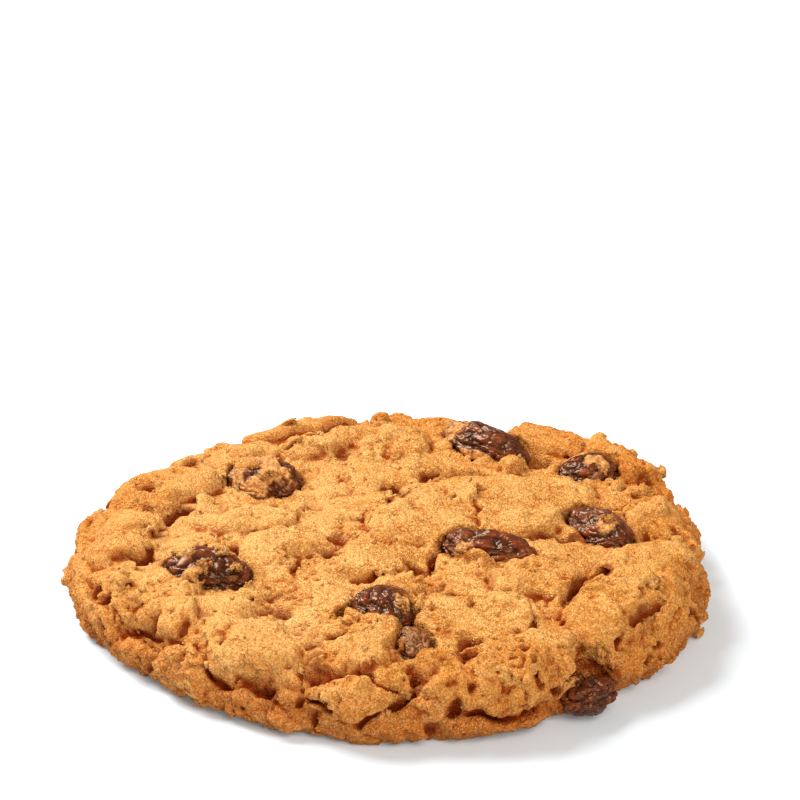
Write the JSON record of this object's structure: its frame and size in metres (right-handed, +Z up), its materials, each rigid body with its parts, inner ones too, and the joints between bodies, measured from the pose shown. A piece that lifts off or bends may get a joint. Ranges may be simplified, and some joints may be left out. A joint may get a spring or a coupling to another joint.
{
  "type": "oatmeal raisin cookie",
  "caption": "Round baked oatmeal cookie with a cracked, lumpy golden crust of oats, and dark raisins set into its top and rim.",
  "frame": {"origin": "The centre of the flat underside, on the surface that the cookie lies on.", "axes": "+Z up through the cookie's thickness, +X to the right and +Y away from the viewer of the picture."},
  "size_m": [0.0804, 0.0797, 0.0123],
  "materials": {
    "crust": "baked oat dough, golden brown, dull and crumbly",
    "raisin_skin": "dark wrinkled raisin skin, slightly glossy"
  },
  "bodies": {
    "root": {"cookie": "crust", "raisin_back_left": "raisin_skin", "raisin_left": "raisin_skin", "raisin_back": "raisin_skin", "raisin_back_right": "raisin_skin", "raisin_right": "raisin_skin", "raisin_centre": "raisin_skin", "raisin_front": "raisin_skin", "raisin_front_sunk": "raisin_skin", "raisin_rim": "raisin_skin", "raisin_left_rim": "raisin_skin"}
  },
  "joints": []
}
